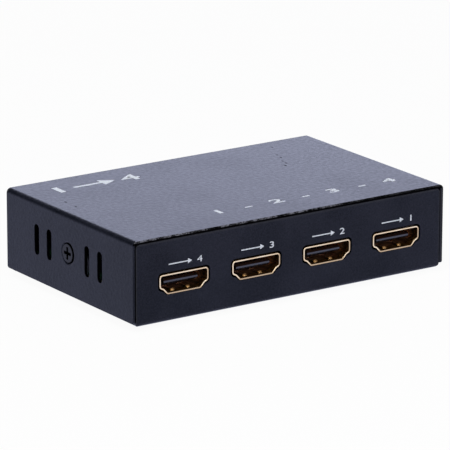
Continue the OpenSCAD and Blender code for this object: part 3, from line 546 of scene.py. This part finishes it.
# Supply parts. A pressed ferrite inductor on two tinned terminals, two aluminium capacitor cans on
# black bases, a rectifier diode with a band at one end, and the crystal in its drawn steel can.
dress("inductor_core", speckled(
    "ferrite", dark=(0.035, 0.035, 0.038), light=(0.075, 0.073, 0.074),
    size=0.28 * mm, rough=0.62, depth=0.03 * mm, IOR=1.6))
dress("inductor_terminals", lead_tin)
can_low, can_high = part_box("capacitor_cans")
can_dark, can_light = rgb(0.62, 0.62, 0.63), rgb(0.74, 0.74, 0.75)
can_black = rgb(0.012, 0.012, 0.013)
ring_size = 1.6 * mm
can, on_can = finish("can_aluminium")
can_rings = on_can.node("ShaderNodeTexWave", {"wave_type": "RINGS", "rings_direction": "Z"},
                        {"Vector": on_can, "Scale": 1 / ring_size,
                         "Distortion": 1.0, "Detail": 2.0})
on_end = on_can.axis("Z").between(can_high.z - 0.05 * mm, can_high.z - 0.02 * mm)
one_side = (on_can.axis("Y") - 0.5 * (can_low.y + can_high.y)).between(1.5 * mm, 1.6 * mm)
can_mark = on_end * one_side
lay(can,
    Base_Color=can_mark.mix(can_rings.mix(can_dark, can_light), can_black),
    Metallic=1 - can_mark,
    Roughness=0.24 + can_rings * 0.14 + can_mark * 0.3,
    Normal=can_rings.relief(0.008 * mm, 0.35))
dress("capacitor_cans", can)
dress("capacitor_bases", speckled(
    "base_plastic", dark=(0.010, 0.010, 0.010), light=(0.019, 0.019, 0.019),
    size=0.25 * mm, rough=0.50, depth=0.015 * mm, IOR=1.5))
dress("crystal_can", speckled(
    "crystal_steel", dark=(0.55, 0.55, 0.54), light=(0.70, 0.70, 0.69),
    size=0.8 * mm, rough=0.22, depth=0.006 * mm, Metallic=1.0))
diode_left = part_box("rectifier_diode")[0].x
diode_dark, diode_light = rgb(0.014, 0.014, 0.015), rgb(0.027, 0.027, 0.029)
band_grey = rgb(0.42, 0.42, 0.43)
diode, on_diode = finish("diode_epoxy")
diode_frost = on_diode.grain(0.18 * mm, 3.0)
diode_shade = diode_frost.between(0.35, 0.7).mix(diode_dark, diode_light)
diode_band = 1 - on_diode.axis("X").between(diode_left + 0.75 * mm, diode_left + 0.85 * mm)
lay(diode,
    Base_Color=diode_band.mix(diode_shade, band_grey),
    Roughness=0.60 - diode_band * 0.1 + diode_frost * 0.06,
    Normal=diode_frost.relief(0.02 * mm, 0.6),
    IOR=1.5)
dress("rectifier_diode", diode)

# Smallest parts. A resettable fuse and two surge arrays behind each output, a ring of ceramic
# capacitors round the splitter chip, and rows of glazed resistors, all soldered flat on the board.
dress("port_fuses", speckled(
    "fuse_polymer", dark=(0.015, 0.10, 0.035), light=(0.030, 0.16, 0.060),
    size=0.3 * mm, rough=0.48, depth=0.02 * mm, IOR=1.5))
dress("surge_arrays", small_epoxy)
dress("chip_capacitors", speckled(
    "chip_ceramic", dark=(0.26, 0.17, 0.095), light=(0.38, 0.27, 0.17),
    size=0.15 * mm, rough=0.50, depth=0.01 * mm, IOR=1.5))
dress("chip_resistors", speckled(
    "resistor_glaze", dark=(0.010, 0.010, 0.012), light=(0.022, 0.022, 0.026),
    size=0.2 * mm, rough=0.22, depth=0.01 * mm, IOR=1.5, Coat_Weight=0.4))

# Board screws. Four pan-head screws of zinc-plated steel with a cross recess. They are driven
# through the board into the standoffs and hold it down.
dress("board_screws", zinc)

# Top cover. One 0.8 mm steel sheet, bent down into two sides, pierced with vent slots and dimpled
# for a screw on each side, with the same coat. Its cut edges show bare steel in places, and the
# top has a few nicks. The slot walls, the insides of the sides and the gap by the left panel are
# painted near black as shade; the dimple's front lip and the right side's cut edge are painted
# lighter as light.
cover_low, cover_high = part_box("top_cover")
screw_low, screw_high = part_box("cover_screws")
screw_mid = 0.5 * (screw_low + screw_high)
cover_edge = 0.10 * mm
cover_least = 22
ink_thickness = 0.008 * mm
# Each nick's place to the right and to the rear, and its size, in mm.
nicks = ((32.3, 25.0, 0.28), (28.8, 17.8, 0.30), (28.2, 15.0, 0.32), (26.6, 12.0, 0.30),
         (26.2, 9.8, 0.36), (24.6, 7.8, 0.40), (-42.6, 10.2, 0.38), (-42.7, 5.1, 0.33))
nick_slimness = 0.3
nick_share = 0.8
cut_end = (cover_high.y - 0.09 * mm, cover_high.y - 0.04 * mm)
by_the_end = (cover_high.y - 1.8 * mm, cover_high.y - 1.4 * mm)
left_to_right = (-1 * mm, 1 * mm)
lip_share, right_edge_share = 0.07, 0.05


def worn_on_cover(place):
    """Near black are the cut edges of the top and the nicks, which are bare steel, and the walls
    of the slots, the insides of the sides and the gap by the panel on the left, which are painted
    shade. Scuffed are the top's cut edge in places; the dimple's front lip is a painted highlight
    and the right side's cut edge is painted lighter as light."""
    end = abs(place.axis("Y")).between(*cut_end)
    drop = cover_high.z - place.axis("Z")
    within = cover_high.x - abs(place.axis("X"))
    below = drop.between(0.9 * mm, 1.1 * mm)
    upper = 1 - drop.between(0.30 * mm, 0.60 * mm)
    torn = place.grain(0.32 * mm, 4.0) * 0.55 + place.grain(2.2 * mm, 2.0) * 0.45
    more_on_left = 0.25 + 0.75 * (1 - place.axis("X").between(0.0 * mm, 32 * mm))
    right = place.axis("X").between(*left_to_right)
    slots = 1 - abs(place.axis("Y")).between(*by_the_end)
    # Painted shade: the slot walls and the insides of the sides, below the bend, are near black.
    walls = below * within.between(0.12 * mm, 0.20 * mm) * slots
    # Painted shade: on the left, the gap by the panel is near black.
    gap = end * below * within.between(0.50 * mm, 0.62 * mm) * (1 - right)
    bare_and_shade = end * (1 - below) + walls + gap
    for x, y, size in nicks:
        off_x = place.axis("X") - x * mm
        off_y = place.axis("Y") - y * mm
        away = off_x * off_x + off_y * off_y * nick_slimness
        bare_and_shade = bare_and_shade + (1 - away.between((0.4 * size * mm) ** 2, (size * mm) ** 2)) * nick_share
    # Painted highlight: a lighter ring on the front side of the dimple's lip.
    ahead = place.axis("Y") - screw_mid.y
    reach = apart(ahead, place.axis("Z") - screw_mid.z)
    ring = reach.between(2.95 * mm, 3.05 * mm) * (1 - reach.between(3.25 * mm, 3.45 * mm))
    lip = ring * (1 - ahead.between(-2 * mm, 1 * mm))
    bared = end * upper * torn.between(0.43, 0.60) * more_on_left
    # Painted light: the right side's cut edge is lightened.
    right_edge = end * below * right
    return bare_and_shade, bared + lip * below * lip_share + right_edge * right_edge_share


cover = rounded("top_cover", "top_cover_bent", cover_edge,
                powder_coat("cover_coat", worn_on_cover), least=cover_least)
under_print = 1 - ink_thickness / (cover_high.z - cover_low.z)
cover.data.transform(Matrix.Translation((0, 0, cover_low.z))
                     @ Matrix.Diagonal((1, 1, under_print, 1))
                     @ Matrix.Translation((0, 0, -cover_low.z)))

# Cover screws. Two flat-head machine screws of blackened steel with a cross recess. Each sits in
# the dimple of one side of the cover and is driven into the tray's ear behind it.
oxide_dark, oxide_light = rgb(0.016, 0.0155, 0.0150), rgb(0.025, 0.024, 0.0225)
# Near black painted as shade in the cross recess and round the head's edge.
recess_painted_shade = rgb(0.002, 0.0019, 0.0017)
head_face = screw_high.x
black_steel, on_screw = finish("screw_black")
oxide = on_screw.grain(0.25 * mm, 4.0)
oxide_shade = oxide.between(0.35, 0.7).mix(oxide_dark, oxide_light)
# Painted shade: below the head's face, the cross recess and the head's edge are near black.
sunk_painted_shade = 1 - abs(on_screw.axis("X")).between(head_face - 0.14 * mm, head_face - 0.03 * mm)
lay(black_steel,
    Base_Color=sunk_painted_shade.mix(oxide_shade, recess_painted_shade),
    Metallic=1.0,
    Roughness=0.36 + oxide * 0.15 + sunk_painted_shade * 0.2,
    Normal=oxide.relief(0.01 * mm, 0.5))
dress("cover_screws", black_steel)


# Print. White ink, screen printed on the finished coat: an arrow and a number over each output,
# and numbers on the cover. The ink lies in the grain of the coat, so its edges are a little rough.
def printed(name, thin, full):
    """White ink, greyer where it is thin."""
    ink, place = finish(name)
    grain = place.grain(0.35 * mm, 4.0)
    lay(ink,
        Base_Color=grain.between(0.3, 0.7).mix(rgb(*thin), rgb(*full)),
        Roughness=0.50 + grain * 0.15,
        Normal=grain.relief(0.03 * mm, 0.5),
        IOR=1.4)
    return ink


def join_print(name, ink, shapes):
    """One piece of print from several flat shapes, already in their places."""
    bpy.ops.object.select_all(action="DESELECT")
    for shape in shapes:
        shape.select_set(True)
    bpy.context.view_layer.objects.active = shapes[0]
    if len(shapes) > 1:
        bpy.ops.object.join()
    piece = bpy.context.view_layer.objects.active
    piece.name = name
    piece.data.materials.clear()
    piece.data.materials.append(ink)
    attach(piece, "root")
    return piece


cap_of_size = 0.69


def numerals(body, cap, stretch, weight, middle, turn=0.0, spread=1.0):
    """Figures of a cap height, stretched in width, set flat round a middle and turned about X."""
    bpy.ops.object.select_all(action="DESELECT")
    bpy.ops.object.text_add()
    line = bpy.context.active_object
    line.data.body = body
    line.data.size = cap / cap_of_size
    line.data.align_x = "CENTER"
    line.data.offset = weight
    line.data.space_character = spread
    line.data.extrude = ink_thickness
    bpy.ops.object.convert(target="MESH")
    line = bpy.context.active_object
    line.data.transform(Matrix.Translation((0, -cap / 2, 0)))
    line.scale = (stretch, 1, 1)
    line.rotation_euler = (turn, 0, 0)
    line.location = middle
    bpy.ops.object.transform_apply(location=True, rotation=True, scale=True)
    return line


head_spread = 1.15
point_share = 0.04


def arrow(length, head, bar, middle, turn=0.0):
    """A flat arrow to the right, from a thin bar whose end is drawn out into a head."""
    bpy.ops.object.select_all(action="DESELECT")
    bpy.ops.mesh.primitive_cube_add(size=1)
    shape = bpy.context.active_object
    shape.scale = (length - head, bar, 2 * ink_thickness)
    bpy.ops.object.transform_apply(location=False, rotation=False, scale=True)
    bpy.ops.object.mode_set(mode="EDIT")
    bpy.ops.mesh.select_all(action="DESELECT")
    bpy.ops.object.mode_set(mode="OBJECT")
    for face in shape.data.polygons:
        face.select = face.normal.x > 0.9
    bpy.ops.object.mode_set(mode="EDIT")
    bpy.ops.mesh.extrude_region_move(TRANSFORM_OT_translate={"value": (0.0, 0.0, 0.0)})
    bpy.ops.transform.resize(value=(1, head * head_spread / bar, 1))
    bpy.ops.mesh.extrude_region_move(TRANSFORM_OT_translate={"value": (head, 0.0, 0.0)})
    bpy.ops.transform.resize(value=(1, point_share, 1))
    bpy.ops.object.mode_set(mode="OBJECT")
    shape.data.transform(Matrix.Translation((-head / 2, 0, 0)))
    shape.rotation_euler = (turn, 0, 0)
    shape.location = middle
    bpy.ops.object.transform_apply(location=True, rotation=True, scale=True)
    return shape


cover_ink = printed("cover_ink", thin=(0.84, 0.90, 0.98), full=(0.93, 0.97, 1.0))
# The panel's print is the same white ink as the cover's, painted greyer as shade for the front's
# smaller share of light.
panel_ink_shaded = printed("panel_ink_shaded", thin=(0.50, 0.53, 0.59), full=(0.64, 0.68, 0.76))
panel_y = tray_low.y
label_z = 16.5 * mm
label_shift = 0.7 * mm
upright = math.radians(90)
for number, (low, high) in enumerate(output_boxes, 1):
    label_x = 0.5 * (low.x + high.x) + label_shift
    join_print(f"output_mark_{number}", panel_ink_shaded, [
        arrow(length=7.0 * mm, head=1.2 * mm, bar=0.30 * mm,
              middle=(label_x - 1.7 * mm, panel_y, label_z), turn=upright),
        numerals(str(number), cap=1.6 * mm, stretch=1.45,
                 weight=0.0 if number == 4 else 0.02 * mm,
                 middle=(label_x + 4.2 * mm, panel_y, label_z), turn=upright),
    ])
cover_top = cover_high.z - ink_thickness
ratio_y = 20.85 * mm
ratio_cap = 4.7 * mm
ratio_stretch = 1.7
join_print("cover_ratio", cover_ink, [
    numerals("1", ratio_cap, ratio_stretch, weight=0.14 * mm,
             middle=(-38.0 * mm, ratio_y, cover_top)),
    arrow(length=12.5 * mm, head=4.0 * mm, bar=1.0 * mm, middle=(-27.2 * mm, ratio_y, cover_top)),
    numerals("4", ratio_cap, ratio_stretch, weight=0.08 * mm,
             middle=(-16.2 * mm, ratio_y, cover_top)),
])
join_print("cover_row", cover_ink, [
    numerals("1 - 2 - 3 - 4", cap=2.9 * mm, stretch=1.9, weight=0.08 * mm,
             middle=(11.7 * mm, -19.05 * mm, cover_top), spread=1.43),
])


# Stage. A floor of pale paper in a white surround, which the pieces mirror as a cool white, dark
# overhead and behind on the left. Soft lamps stand above on the left, in front, and low behind on
# the right. The camera's long lens looks from the front left and a little from above.
def seen_white(tree):
    """1 for rays from the camera, from gloss and through glass, 0 for the rays that light the
    scene."""
    rays = Tone(tree)
    straight = rays.node("ShaderNodeLightPath", out="Is Camera Ray")
    gloss = rays.node("ShaderNodeLightPath", out="Is Glossy Ray")
    through = rays.node("ShaderNodeLightPath", out="Is Transmission Ray")
    return straight.most(gloss).most(through)


white = (1.0, 1.0, 1.0)
daylight_white = (1.0, 1.06, 1.5)


def cool_in_gloss(tree):
    """White, and the cool white of daylight for what is mirrored in the pieces."""
    gloss = Tone(tree).node("ShaderNodeLightPath", out="Is Glossy Ray")
    return gloss.mix(rgb(*white), rgb(*daylight_white))


floor_size = 8
paper_dark, paper_light = rgb(0.95, 0.95, 0.95), rgb(0.98, 0.98, 0.98)
paper_glow = 0.95
bpy.ops.object.select_all(action="DESELECT")
bpy.ops.mesh.primitive_plane_add(size=floor_size)
floor = bpy.context.active_object
floor.name = "floor"
paper, on_floor = finish("floor_paper")
lay(paper,
    Base_Color=on_floor.grain(2 * mm, 3.0).mix(paper_dark, paper_light),
    Roughness=0.9,
    Specular_IOR_Level=0.0)
paper_tree = paper.node_tree
glow = Tone(paper_tree).node("ShaderNodeEmission", None,
                             {"Color": cool_in_gloss(paper_tree), "Strength": 1.0})
shown = seen_white(paper_tree) * paper_glow
surface = glow.node("ShaderNodeMixShader", None, {0: shown, 2: glow})
paper_tree.links.new(paper_tree.nodes["Principled BSDF"].outputs[0], surface.socket.node.inputs[1])
paper_tree.links.new(surface.socket, paper_tree.nodes["Material Output"].inputs["Surface"])
floor.data.materials.append(paper)

lit_level = 0.50
dark_share = 0.93
world = bpy.data.worlds.new("surround")
bpy.context.scene.world = world
world.use_nodes = True
sky_tree = world.node_tree
sky = sky_tree.nodes["Background"]
sky_rays = Tone(sky_tree)
unseen = 1 - sky_rays.node("ShaderNodeLightPath", out="Is Camera Ray")
towards = sky_rays.node("ShaderNodeTexCoord", out="Generated")
overhead = towards.axis("Z").between(0.33, 0.48)
behind = towards.axis("Y").between(0.2, 0.5) * towards.axis("Z").between(0.0, 0.06)
behind_left = behind * (1 - towards.axis("X").between(-0.15, 0.10))
dark = overhead.most(behind_left)
level = (lit_level + seen_white(sky_tree) * (1 - lit_level)) * (1 - dark * unseen * dark_share)
sky_tree.links.new(cool_in_gloss(sky_tree).socket, sky.inputs["Color"])
sky_tree.links.new(level.socket, sky.inputs["Strength"])

lamp_aim = (0.0, 0.0, 0.01)


def soft_lamp(name, place, size, watts, colour):
    """A rectangular lamp that points at the case."""
    light = bpy.data.lights.new(name, "AREA")
    light.shape = "RECTANGLE"
    light.size, light.size_y = size
    light.energy = watts
    light.color = colour
    lamp = bpy.data.objects.new(name, light)
    bpy.context.scene.collection.objects.link(lamp)
    lamp.location = place
    lamp.rotation_euler = (Vector(lamp_aim) - Vector(place)).to_track_quat("-Z", "Y").to_euler()


soft_lamp("key", place=(-0.6, -0.45, 1.1), size=(0.7, 0.7), watts=9.5, colour=white)
soft_lamp("fill", place=(0.05, -1.1, 0.55), size=(0.8, 0.6), watts=5.4, colour=white)
soft_lamp("back", place=(0.70, 1.02, 0.36), size=(1.5, 0.5), watts=4.65, colour=(0.75, 0.79, 1.0))

lens_mm = 316.54
sensor_mm = 36.0
far_limit = 20.0
eye = Vector((-558.709, -817.702, 301.052)) * mm
target = Vector((-27.924, -40.731, 27.781)) * mm
roll = math.radians(0.127)
view = bpy.data.cameras.new("camera")
view.lens = lens_mm
view.sensor_width = sensor_mm
view.clip_end = far_limit
camera = bpy.data.objects.new("camera", view)
bpy.context.scene.collection.objects.link(camera)
turn = (target - eye).to_track_quat("-Z", "Y").to_matrix().to_4x4() @ Matrix.Rotation(roll, 4, "Z")
camera.matrix_world = Matrix.Translation(eye) @ turn
bpy.context.scene.camera = camera

bpy.context.scene.view_settings.view_transform = "Standard"
